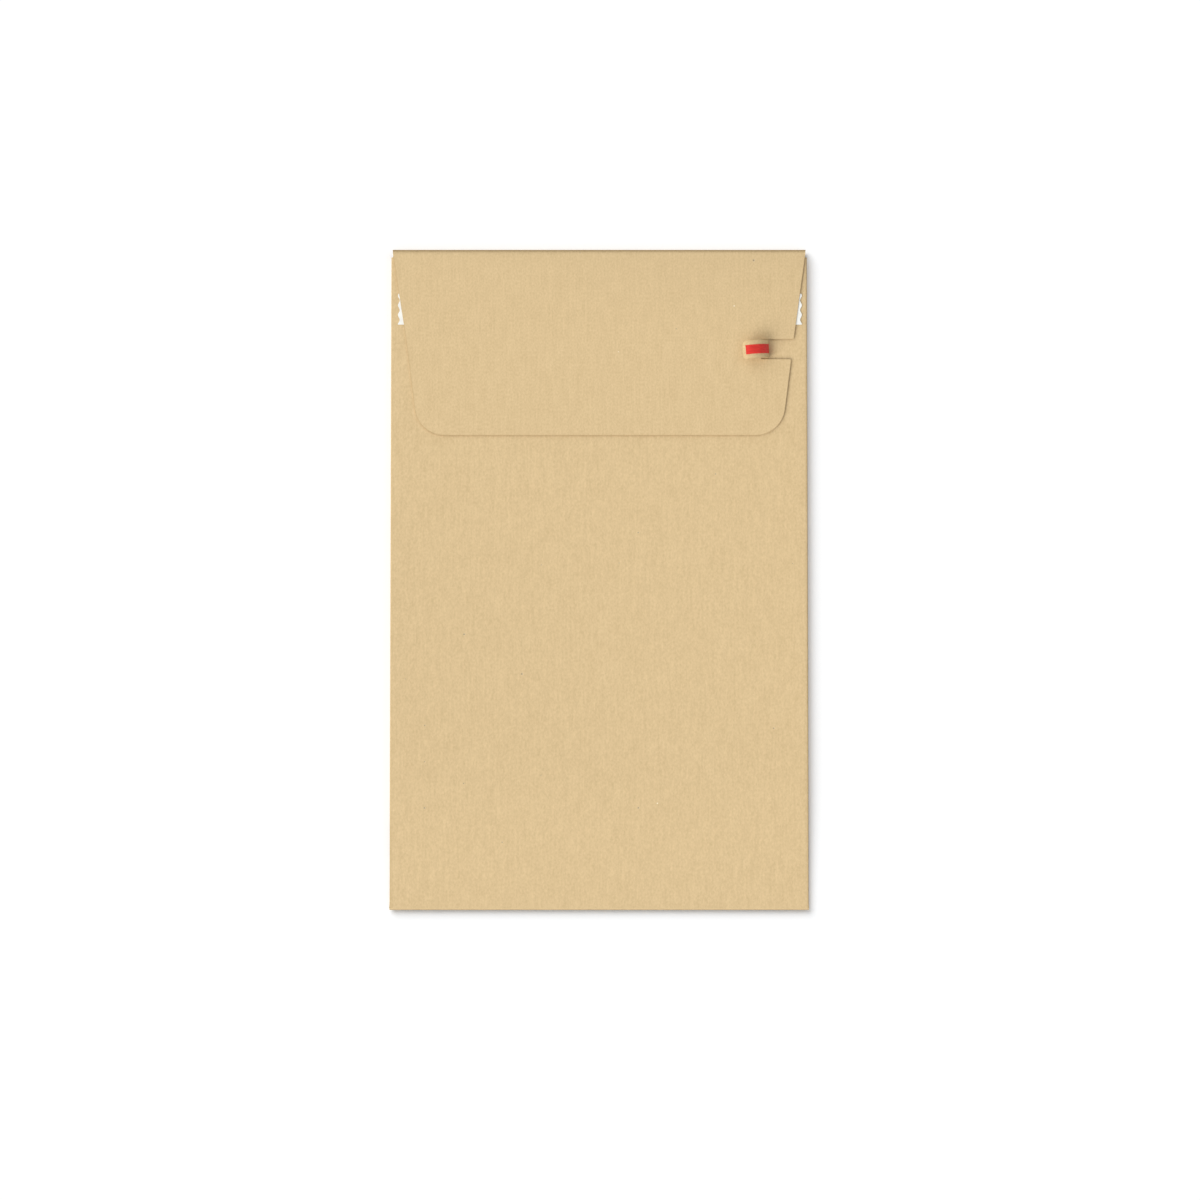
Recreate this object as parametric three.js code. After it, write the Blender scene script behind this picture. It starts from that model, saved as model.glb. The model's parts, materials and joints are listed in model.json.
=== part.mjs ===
// A paper mailing bag: a flat tube of kraft paper with side gussets, a pinched and glued bottom,
// and a long flap that folds over the front. The flap carries two adhesive strips and a tear tape.
// It lies on its back panel with the flap closed and the end of the tear strip curled back.
// Millimetres. +X is across the bag, +Y towards the flap fold, +Z up and out of the front.
import * as THREE from "three";

// Overall size with the flap closed
const bagWidth = 240;
const bagHeight = 380;
const pouchThickness = 6;

// Sheets and tapes
const paperThickness = 0.25;
const glueThickness = 0.1;
const adhesiveThickness = 0.1;
const linerThickness = 0.12;
const tapeThickness = 0.15;

// Tube: mouth, gussets and lap seam
const mouthSetback = 4.75;
const gussetDepth = 30;
const seamLapWidth = 12;
const seamGlueMargin = 2;

// Bottom, pinched shut and turned up onto the back
const bottomFlapHeight = 30;
const pinchLength = 80;
const bottomGlueMargin = 6;

// Flap outline, measured down from the top of the fold and in from the bag's edges
const flapDepth = 107.8;
const flapFoldInset = 0.7;
const flapShoulderInset = 7.8;
const flapShoulderDepth = 51.3;
const flapEndInset = 15;
const flapCornerRadius = 17;

// Return strip, nearest to the fold
const returnStripSetback = 25.9;
const returnLinerWidth = 17.9;
const returnLinerInset = 3.6;
const returnLinerShift = 0.45;
const returnAdhesiveMargin = 1.5;
const scallopPitch = 5.6;
const scallopHeight = 1;

// Tear strip: the notch in the flap's right edge, and the tab that was cut from it
const notchGap = 8.5;
const notchWidth = 11.5;
const notchDepth = 18;
const notchCornerRadius = 1;
const tabSideClearance = 0.5;
const tabCornerRadius = 2;
const tabRootLength = 2.27;
const tabBendRadius = 1.8;
const tabBendDegrees = 130;
const tabCurlRadius = 10.8;
const tabCurlDegrees = 86;
const tabSkewDegrees = 2.35;
const tearTapeWidth = 5.3;
const tearTapeEndMargin = 1;

// Closure strip, between the tear strip and the flap's edge
const closureStripGap = 10.5;
const closureEndMargin = 12.5;
const closureLinerMargin = 1.5;
const adhesiveEdgeMargin = 5;

// Running gaps between pieces that move apart
const flapClearance = 0.33;
const releaseGap = 0.05;
const foldGap = 0.3;
const tabRootGap = 0.5;

// Mesh fineness
const arcSteps = 12;
const pinchSteps = 10;
const scallopSteps = 6;
const curlSteps = 16;
const cornerSteps = 4;

// Heights of the layers, from the surface that the bag lies on
const bottomFlapThickness = 2 * paperThickness;
const pinchStep = bottomFlapThickness + glueThickness;
const seamHeight = glueThickness + paperThickness;
const pinchedThickness = pinchStep + seamHeight + 4 * paperThickness;
const pinchLift = (pouchThickness - pinchedThickness) / 2;
const stripHeight = Math.max(adhesiveThickness + releaseGap + linerThickness, tapeThickness);
const flapUnderside = pouchThickness + flapClearance + stripHeight;

// Flap fold: a half turn from the back panel to the flap
const foldOuterRadius = (flapUnderside + paperThickness) / 2;
const foldAxisY = bagHeight / 2 - foldOuterRadius;
const foldAxisZ = foldOuterRadius;

// Bottom fold: a half turn from the front panel to the bottom flap
const pinchOuterRadius = pinchedThickness / 2;
const pinchAxisY = pinchOuterRadius - bagHeight / 2;

// Stations along the bag
const mouthY = bagHeight / 2 - mouthSetback;
const bottomFlapTopY = bottomFlapHeight - bagHeight / 2;
const pinchTopY = pinchAxisY + pinchLength;

// Places on the flap
const notchTop = returnStripSetback + returnLinerWidth + notchGap;
const notchCentre = notchTop + notchWidth / 2;
const notchBottom = notchTop + notchWidth;
const notchRootX = flapHalfWidth(notchCentre) - notchDepth;
const tabFoldX = notchRootX + tabRootLength;
const tabAxisZ = flapUnderside + paperThickness / 2 + tabBendRadius;

// Materials
const kraft = () => new THREE.MeshStandardMaterial({ color: 0xddc295, roughness: 0.85, metalness: 0 });
const kraftInside = () => new THREE.MeshStandardMaterial({ color: 0xc9ae80, roughness: 0.88, metalness: 0 });
const glue = () => new THREE.MeshStandardMaterial({ color: 0xe9e2cf, roughness: 0.5, metalness: 0 });
const adhesive = () => new THREE.MeshStandardMaterial({ color: 0xe6ddc0, roughness: 0.25, metalness: 0 });
const releasePaper = () => new THREE.MeshStandardMaterial({ color: 0xf1f0e9, roughness: 0.45, metalness: 0 });
const redFilm = () => new THREE.MeshStandardMaterial({ color: 0xd53f34, roughness: 0.35, metalness: 0 });

/** Height in Y of a place that lies `depth` below the top of the flap fold. */
function below(depth) {
  return bagHeight / 2 - depth;
}

/** Half the flap's width at `depth` below the top of the fold: two straight stretches. */
function flapHalfWidth(depth) {
  const shoulder = bagWidth / 2 - flapShoulderInset;
  if (depth < flapShoulderDepth) {
    return THREE.MathUtils.lerp(bagWidth / 2 - flapFoldInset, shoulder, depth / flapShoulderDepth);
  }
  const share = (depth - flapShoulderDepth) / (flapDepth - flapShoulderDepth);
  return THREE.MathUtils.lerp(shoulder, bagWidth / 2 - flapEndInset, share);
}

/** Underside of the back panel, which leaves the table to meet the pinch at half the bag's height. */
function backUnderside(y) {
  return (pinchLift + pinchStep) * (1 - THREE.MathUtils.smoothstep(y, bottomFlapTopY, pinchTopY));
}

/** Underside of the front panel, which comes down to the pinched bottom. */
function frontUnderside(y) {
  const pinched = pinchLift + pinchedThickness - paperThickness;
  const open = pouchThickness - paperThickness;
  return THREE.MathUtils.lerp(pinched, open, THREE.MathUtils.smoothstep(y, pinchAxisY, pinchTopY));
}

/** The Y stations that every sheet of the tube shares, so that neighbouring sheets never cross. */
function tubeStations(top) {
  const pinch = Array.from({ length: pinchSteps + 1 }, (_, i) =>
    THREE.MathUtils.lerp(pinchAxisY, pinchTopY, i / pinchSteps),
  );
  return [...pinch, top];
}

/** A closed sheet over the grid xs by ys, with its underside at underside(x, y). */
function sheetGeometry(xs, ys, thickness, underside) {
  const positions = [];
  for (const lift of [0, thickness]) {
    for (const y of ys) {
      for (const x of xs) {
        positions.push(x, y, underside(x, y) + lift);
      }
    }
  }
  const layer = xs.length * ys.length;
  const at = (i, j, top) => j * xs.length + i + (top ? layer : 0);
  const index = [];
  const quad = (a, b, c, d) => index.push(a, b, c, a, c, d);
  for (let j = 0; j + 1 < ys.length; j += 1) {
    for (let i = 0; i + 1 < xs.length; i += 1) {
      quad(at(i, j, true), at(i + 1, j, true), at(i + 1, j + 1, true), at(i, j + 1, true));
      quad(at(i, j), at(i, j + 1), at(i + 1, j + 1), at(i + 1, j));
    }
  }
  for (let i = 0; i + 1 < xs.length; i += 1) {
    const last = ys.length - 1;
    quad(at(i, 0), at(i + 1, 0), at(i + 1, 0, true), at(i, 0, true));
    quad(at(i + 1, last), at(i, last), at(i, last, true), at(i + 1, last, true));
  }
  for (let j = 0; j + 1 < ys.length; j += 1) {
    const last = xs.length - 1;
    quad(at(0, j + 1), at(0, j), at(0, j, true), at(0, j + 1, true));
    quad(at(last, j), at(last, j + 1), at(last, j + 1, true), at(last, j, true));
  }
  const geometry = new THREE.BufferGeometry();
  geometry.setAttribute("position", new THREE.Float32BufferAttribute(positions, 3));
  geometry.setIndex(index);
  return geometry;
}

/** A shape through corners [x, y, radius], counter-clockwise, each rounded to its radius. */
function roundedShape(corners) {
  const shape = new THREE.Shape();
  corners.forEach(([x, y, radius], n) => {
    if (!radius) {
      shape[n ? "lineTo" : "moveTo"](x, y);
      return;
    }
    const corner = new THREE.Vector2(x, y);
    const [before, after] = [corners.at(n - 1), corners[(n + 1) % corners.length]];
    const back = new THREE.Vector2(before[0], before[1]).sub(corner).normalize();
    const onward = new THREE.Vector2(after[0], after[1]).sub(corner).normalize();
    const half = Math.acos(back.dot(onward)) / 2;
    const start = corner.clone().addScaledVector(back, radius / Math.tan(half));
    const end = corner.clone().addScaledVector(onward, radius / Math.tan(half));
    const middle = back.clone().add(onward).normalize();
    const centre = corner.clone().addScaledVector(middle, radius / Math.sin(half));
    const angle = (point) => Math.atan2(point.y - centre.y, point.x - centre.x);
    const clockwise = back.cross(onward) > 0;
    shape.absarc(centre.x, centre.y, radius, angle(start), angle(end), clockwise);
  });
  return shape;
}

/** A rectangle centred on x, between two heights, as corners for roundedShape. */
function rectangle(left, right, low, high, radius = 0) {
  return [[left, low, radius], [right, low, radius], [right, high, radius], [left, high, radius]];
}

/** A flat plate or bar of one shape, drawn in XY and raised from z = 0. */
function plateGeometry(shape, thickness) {
  const options = { depth: thickness, bevelEnabled: false, curveSegments: arcSteps };
  return new THREE.ExtrudeGeometry(shape, options);
}

/** A bar that runs along X, centred on x = 0, with its section drawn in (y, z). */
function barGeometry(section, length) {
  const alongX = new THREE.Matrix4().makeBasis(
    new THREE.Vector3(0, 1, 0),
    new THREE.Vector3(0, 0, 1),
    new THREE.Vector3(1, 0, 0),
  );
  return plateGeometry(section, length).applyMatrix4(alongX).translate(-length / 2, 0, 0);
}

/** A folded sheet's section: half a ring round (y, z), from its lowest point to its highest. */
function foldSection(y, z, outerRadius, thickness) {
  const ring = new THREE.Shape();
  ring.absarc(y, z, outerRadius, -Math.PI / 2, Math.PI / 2, false);
  ring.absarc(y, z, outerRadius - thickness, Math.PI / 2, -Math.PI / 2, true);
  return ring;
}

function piece(name, geometry, material, z = 0) {
  const mesh = new THREE.Mesh(geometry, material);
  mesh.name = name;
  mesh.position.z = z;
  return mesh;
}

function buildPanels() {
  const across = [-bagWidth / 2, bagWidth / 2];
  const backStations = tubeStations(foldAxisY - foldGap);
  const back = sheetGeometry(across, backStations, paperThickness, (x, y) => backUnderside(y));
  const front = sheetGeometry(across, tubeStations(mouthY), paperThickness, (x, y) => frontUnderside(y));
  return [piece("back_panel", back, kraft()), piece("front_panel", front, kraft())];
}

/** The lap that closes the tube: it turns in from the left gusset and is glued inside the back panel. */
function buildSideSeam() {
  const left = -bagWidth / 2;
  const lap = [left, left + seamLapWidth];
  const glueLine = [left + seamGlueMargin, left + seamLapWidth - seamGlueMargin];
  const glueBase = (x, y) => backUnderside(y) + paperThickness;
  const lapBase = (x, y) => glueBase(x, y) + glueThickness;
  const stations = tubeStations(mouthY);
  return [
    piece("side_seam_glue", sheetGeometry(glueLine, stations, glueThickness, glueBase), glue()),
    piece("side_seam_lap", sheetGeometry(lap, stations, paperThickness, lapBase), kraftInside()),
  ];
}

/** One gusset: two leaves that meet in a crease inside the bag. */
function buildGusset(side, sign, seatHeight) {
  const edge = sign * (bagWidth / 2);
  const crease = sign * (bagWidth / 2 - gussetDepth);
  const xs = [edge, crease].sort((a, b) => a - b);
  const stations = tubeStations(mouthY);
  const seat = (y) => backUnderside(y) + paperThickness + seatHeight;
  const middle = (y) => (seat(y) + frontUnderside(y)) / 2;
  const rear = (x, y) => (x === edge ? seat(y) : middle(y) - paperThickness);
  const front = (x, y) => (x === edge ? frontUnderside(y) - paperThickness : middle(y));
  return [
    piece(`${side}_gusset_rear_leaf`, sheetGeometry(xs, stations, paperThickness, rear), kraftInside()),
    piece(`${side}_gusset_front_leaf`, sheetGeometry(xs, stations, paperThickness, front), kraftInside()),
  ];
}

/** The pinched end: the front panel's paper turns under the fold and is glued to the back. */
function buildBottom() {
  const hook = new THREE.Shape();
  const radius = pinchOuterRadius;
  hook.moveTo(bottomFlapTopY, 0);
  hook.lineTo(bottomFlapTopY, bottomFlapThickness);
  hook.lineTo(pinchAxisY, bottomFlapThickness);
  hook.lineTo(pinchAxisY, paperThickness);
  hook.absarc(pinchAxisY, radius, radius - paperThickness, -Math.PI / 2, Math.PI / 2, true);
  hook.absarc(pinchAxisY, radius, radius, Math.PI / 2, -Math.PI / 2, false);
  const glueCorners = rectangle(
    pinchAxisY + bottomGlueMargin,
    bottomFlapTopY - bottomGlueMargin,
    bottomFlapThickness,
    pinchStep,
  );
  const glueLine = barGeometry(roundedShape(glueCorners), bagWidth - 2 * bottomGlueMargin);
  return [
    piece("bottom_flap", barGeometry(hook, bagWidth), kraft(), pinchLift),
    piece("bottom_glue", glueLine, glue(), pinchLift),
  ];
}

/** The flap's outline, with rounded lower corners and the open notch in its right edge. */
function flapShape() {
  const end = bagWidth / 2 - flapEndInset;
  const shoulder = bagWidth / 2 - flapShoulderInset;
  const root = flapHalfWidth(bagHeight / 2 - foldAxisY);
  return roundedShape([
    [-root, foldAxisY, 0],
    [-shoulder, below(flapShoulderDepth), 0],
    [-end, below(flapDepth), flapCornerRadius],
    [end, below(flapDepth), flapCornerRadius],
    [flapHalfWidth(notchBottom), below(notchBottom), notchCornerRadius],
    [notchRootX, below(notchBottom), 0],
    [notchRootX, below(notchTop), 0],
    [flapHalfWidth(notchTop), below(notchTop), notchCornerRadius],
    [root, foldAxisY, 0],
  ]);
}

function buildFlap() {
  const foldWidth = 2 * flapHalfWidth(bagHeight / 2 - foldAxisY);
  const fold = foldSection(foldAxisY, foldAxisZ, foldOuterRadius, paperThickness);
  return [
    piece("flap", plateGeometry(flapShape(), paperThickness), kraft(), flapUnderside),
    piece("flap_fold", barGeometry(fold, foldWidth), kraft()),
  ];
}

/** The return strip's liner is longer than the flap is wide, and both its ends are scalloped. */
function returnLinerShape(low, high) {
  const half = bagWidth / 2 - returnLinerInset;
  const steps = Math.max(1, Math.round(((high - low) / scallopPitch) * scallopSteps));
  const end = (sign) =>
    Array.from({ length: steps + 1 }, (_, i) => {
      const up = ((high - low) * i) / steps;
      const wave = (scallopHeight / 2) * Math.cos((2 * Math.PI * up) / scallopPitch);
      return new THREE.Vector2(returnLinerShift + sign * (half - scallopHeight / 2 + wave), low + up);
    });
  return new THREE.Shape([...end(1), ...end(-1).reverse()]);
}

function buildReturnStrip() {
  const low = returnStripSetback + returnLinerWidth;
  const half = flapHalfWidth(low) - adhesiveEdgeMargin;
  const strip = rectangle(
    -half,
    half,
    below(low - returnAdhesiveMargin),
    below(returnStripSetback + returnAdhesiveMargin),
  );
  const adhesiveZ = flapUnderside - adhesiveThickness;
  const linerZ = adhesiveZ - releaseGap - linerThickness;
  return [
    piece("return_adhesive", plateGeometry(roundedShape(strip), adhesiveThickness), adhesive(), adhesiveZ),
    piece(
      "return_liner",
      plateGeometry(returnLinerShape(below(low), below(returnStripSetback)), linerThickness),
      releasePaper(),
      linerZ,
    ),
  ];
}

function buildClosureStrip() {
  const top = notchBottom + closureStripGap;
  const low = flapDepth - closureEndMargin;
  const half = flapHalfWidth(low) - adhesiveEdgeMargin;
  const strip = rectangle(-half, half, below(low), below(top));
  const grown = rectangle(
    -half - closureLinerMargin,
    half + closureLinerMargin,
    below(low + closureLinerMargin),
    below(top - closureLinerMargin),
  );
  const adhesiveZ = flapUnderside - adhesiveThickness;
  const linerZ = adhesiveZ - releaseGap - linerThickness;
  return [
    piece("closure_adhesive", plateGeometry(roundedShape(strip), adhesiveThickness), adhesive(), adhesiveZ),
    piece("closure_liner", plateGeometry(roundedShape(grown), linerThickness), releasePaper(), linerZ),
  ];
}

/** The tape runs across the inside of the flap, and its last stretch is on the tab. */
function buildTearTape() {
  const left = -flapHalfWidth(notchBottom) + tearTapeEndMargin;
  const strip = rectangle(
    left,
    notchRootX - tearTapeEndMargin,
    below(notchCentre + tearTapeWidth / 2),
    below(notchCentre - tearTapeWidth / 2),
  );
  return piece(
    "tear_tape",
    plateGeometry(roundedShape(strip), tapeThickness),
    redFilm(),
    flapUnderside - tapeThickness,
  );
}

/**
 * A strip of the tab, cut flat along X and then rolled up about a line along Y. `low` and `high` are
 * the heights of its faces while it lies flat, measured from the middle of the tab's paper.
 */
function curledStrip(stations, halfWidthAt, low, high) {
  const geometry = sheetGeometry(stations, [-1, 1], high - low, () => low);
  const bendTurn = THREE.MathUtils.degToRad(tabBendDegrees);
  const offset = tabBendRadius - tabCurlRadius;
  const place = geometry.getAttribute("position");
  for (let i = 0; i < place.count; i += 1) {
    const angle = bendTurn + place.getX(i) / tabCurlRadius;
    const radius = tabCurlRadius - place.getZ(i);
    const x = offset * Math.sin(bendTurn) + radius * Math.sin(angle);
    const z = -offset * Math.cos(bendTurn) - radius * Math.cos(angle);
    place.setXYZ(i, x, place.getY(i) * halfWidthAt(place.getX(i)), z);
  }
  return geometry;
}

/** The tab: a flat root, a tight bend a little askew, and a stretch that curls back over the flap. */
function buildTearTab() {
  const bendTurn = THREE.MathUtils.degToRad(tabBendDegrees);
  const length = tabCurlRadius * THREE.MathUtils.degToRad(tabCurlDegrees);
  const halfWidth = notchWidth / 2 - tabSideClearance;
  const face = paperThickness / 2;

  // The paper's free end has round corners. The film on it shares its stations, so the two never cross
  const roundFrom = length - tabCornerRadius;
  const straight = Array.from({ length: curlSteps + 1 }, (_, i) =>
    THREE.MathUtils.lerp(tabRootGap, roundFrom, i / curlSteps),
  );
  const round = Array.from(
    { length: cornerSteps },
    (_, i) => roundFrom + tabCornerRadius * Math.sin(((i + 1) / cornerSteps) * (Math.PI / 2)),
  );
  const stations = [...straight, ...round];
  const halfWidthAt = (x) => {
    const into = THREE.MathUtils.clamp(x - roundFrom, 0, tabCornerRadius);
    return halfWidth - tabCornerRadius + Math.sqrt(tabCornerRadius ** 2 - into ** 2);
  };
  const paper = curledStrip(stations, halfWidthAt, -face, face);
  const filmEnd = length - tearTapeEndMargin;
  const filmStations = [...stations.filter((x) => x < filmEnd), filmEnd];
  const film = curledStrip(filmStations, () => tearTapeWidth / 2, -face - tapeThickness, -face);

  // The root and the bend are drawn in (x, z) round the fold, and their length laid along it, in Y
  const outer = tabBendRadius + face;
  const inner = tabBendRadius - face;
  const low = -Math.PI / 2;
  const section = new THREE.Shape();
  section.moveTo(tabRootGap - tabRootLength, -outer);
  section.absarc(0, 0, outer, low, low + bendTurn, false);
  section.absarc(0, 0, inner, low + bendTurn, low, true);
  section.lineTo(tabRootGap - tabRootLength, -inner);
  const bend = plateGeometry(section, 2 * halfWidth);
  bend.rotateX(Math.PI / 2).translate(0, halfWidth, 0);

  const fold = new THREE.Group();
  fold.position.set(tabFoldX, below(notchCentre), tabAxisZ);
  fold.rotation.z = THREE.MathUtils.degToRad(tabSkewDegrees);
  fold.add(piece("tear_tab", paper, kraft()));
  fold.add(piece("tear_tab_tape", film, redFilm()));
  fold.add(piece("tear_tab_bend", bend, kraft()));
  return fold;
}

const bag = new THREE.Group();
bag.add(...buildPanels());
bag.add(...buildSideSeam());
bag.add(...buildGusset("left", -1, seamHeight));
bag.add(...buildGusset("right", 1, 0));
bag.add(...buildBottom());
bag.add(...buildFlap());
bag.add(...buildReturnStrip());
bag.add(...buildClosureStrip());
bag.add(buildTearTape());
bag.add(buildTearTab());

export default bag;
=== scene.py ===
# %% [markdown]
# # A paper mailing bag
#
# The bag is one sheet of brown kraft paper. It is folded into a flat tube with a gusset down each
# side, its bottom is pinched and turned up onto the back, and the back panel runs on past the mouth
# as a long flap. The flap carries a return strip, a closure strip and a red tear tape, and the end
# of the tear tape is curled back as a tab.
#
# Paper does not stretch. So nearly every piece here starts as a flat cut shape, and a rule folds
# it. That keeps its edges as straight and its folds as round as those of real paper.

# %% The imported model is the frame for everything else
import math

import bmesh
import bpy
from mathutils import Matrix, Vector
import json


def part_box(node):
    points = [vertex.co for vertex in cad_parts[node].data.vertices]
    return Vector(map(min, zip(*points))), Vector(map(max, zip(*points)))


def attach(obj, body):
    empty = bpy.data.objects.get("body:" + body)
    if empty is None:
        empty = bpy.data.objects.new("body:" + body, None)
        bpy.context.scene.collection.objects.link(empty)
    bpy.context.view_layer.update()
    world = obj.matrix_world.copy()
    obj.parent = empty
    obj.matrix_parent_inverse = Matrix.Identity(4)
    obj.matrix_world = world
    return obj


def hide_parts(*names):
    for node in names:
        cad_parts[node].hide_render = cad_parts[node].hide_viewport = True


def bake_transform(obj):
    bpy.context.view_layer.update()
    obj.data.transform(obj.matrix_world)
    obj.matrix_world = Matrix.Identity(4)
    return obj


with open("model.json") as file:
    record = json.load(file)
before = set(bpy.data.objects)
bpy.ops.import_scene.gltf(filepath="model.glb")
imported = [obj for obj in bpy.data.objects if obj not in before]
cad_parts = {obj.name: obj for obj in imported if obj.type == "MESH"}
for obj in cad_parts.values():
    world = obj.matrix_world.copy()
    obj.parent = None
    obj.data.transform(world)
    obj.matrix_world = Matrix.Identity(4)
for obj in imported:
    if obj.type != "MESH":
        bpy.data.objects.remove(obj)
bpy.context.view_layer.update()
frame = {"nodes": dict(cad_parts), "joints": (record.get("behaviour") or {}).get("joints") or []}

MM = 0.001

# %% [markdown]
# ## Sizes
#
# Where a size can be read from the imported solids, it is read, so that the paper stays in its place
# if the bag changes. A box only says where a piece begins and ends. The cut of the flap inside its
# box is given here again, in the same words and millimetres as in the model.

# %% Sizes read from the solids
front_low, front_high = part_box("front_panel")
back_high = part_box("back_panel")[1]
fold_low, fold_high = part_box("flap_fold")
flap_low, flap_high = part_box("flap")
turn_low, turn_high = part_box("bottom_flap")
joints = {joint["name"]: joint for joint in frame["joints"]}
tab_axis = Vector(joints["tear_tab_fold"]["pos_m"])
tab_skew = math.asin(-joints["tear_tab_fold"]["axis"][0])

PAPER = flap_high.z - flap_low.z
half_width = front_high.x
top_y = fold_high.y
mouth_y = front_high.y
pinch_y = front_low.y
crease_y = fold_low.y
crease_radius = (fold_high.z - PAPER) / 2
flap_z = flap_low.z + PAPER / 2
print("paper", round(PAPER / MM, 3), "mm, flap fold radius", round(crease_radius / MM, 3), "mm")

# %% The cut of the flap, measured down from the top of the fold and in from the bag's edges
flap_depth = top_y - flap_low.y
fold_inset = 0.7 * MM
shoulder_inset = 7.8 * MM
shoulder_depth = 51.3 * MM
end_inset = 15 * MM
end_radius = 17 * MM
notch_width = 11.5 * MM
notch_depth = 18 * MM
notch_radius = 1 * MM
# The die that cut the flap sat a little askew: the flap's left side ends up this much further in
cut_drift = 0.9 * MM


def flap_half_width(depth):
    """Half the flap's width at a depth below the top of the fold, in two straight stretches."""
    shoulder = half_width - shoulder_inset
    if depth < shoulder_depth:
        return half_width - fold_inset + (fold_inset - shoulder_inset) * depth / shoulder_depth
    share = (depth - shoulder_depth) / (flap_depth - shoulder_depth)
    return shoulder + (shoulder_inset - end_inset) * share


notch_y = tab_axis.y
notch_root_x = flap_half_width(top_y - notch_y) - notch_depth
print("notch root at x =", round(notch_root_x / MM, 2), "mm")

# %% [markdown]
# ## Two small helpers
#
# A maker picks colours on a screen, where they are sRGB values. Blender mixes light in linear
# values, so each hex colour is turned to linear once, here. The other helper adds one node with its
# settings and links, and serves shader trees and geometry trees alike. A sum takes its inputs in
# order, and most other nodes take them by name.

# %% Colour and node helpers
def linear(hex_colour, swing=0):
    """An sRGB hex colour, such as "ddc295", as the linear RGBA that Blender works in.

    swing makes it that many of the 255 steps lighter or darker.
    """
    shares = [(int(hex_colour[i : i + 2], 16) + swing) / 255 for i in (0, 2, 4)]
    return [((s + 0.055) / 1.055) ** 2.4 if s > 0.04045 else s / 12.92 for s in shares] + [1.0]


SUM = "ShaderNodeMath"


def add(tree, kind, inputs=(), **settings):
    """A new node with its settings.

    Its inputs are a dict, or a tuple in the node's own order. Each is a value, a socket, or a node,
    which stands for its first output.
    """
    node = tree.nodes.new(kind)
    for name, value in settings.items():
        setattr(node, name, value)
    for key, value in inputs.items() if isinstance(inputs, dict) else enumerate(inputs):
        if isinstance(value, bpy.types.Node):
            value = value.outputs[0]
        if isinstance(value, bpy.types.NodeSocket):
            tree.links.new(value, node.inputs[key])
        else:
            node.inputs[key].default_value = value
    return node


print("kraft in linear light:", [round(c, 3) for c in linear("ddc295")])

# %% [markdown]
# ## Kraft paper
#
# Kraft is unbleached wood pulp. It is laid down on a moving wire, so its fibres lie mostly along the
# web, and dried on a smooth cylinder. To the eye that gives a warm matt brown with three
# things in it: fine stripes along the machine direction, 1 to 2 mm apart; a cloudy look where the
# pulp lies thicker; and now and then a pale or dark speck of shive.
#
# The pattern could be painted on Object coordinates. But the flap turns over, and a pattern fixed in
# space would slide through it. So each sheet carries where each point lay on it while it was flat,
# as an attribute named "flat", and the pattern reads that.

# %% A kraft paper material
relief_depth = 0.02 * MM


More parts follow.
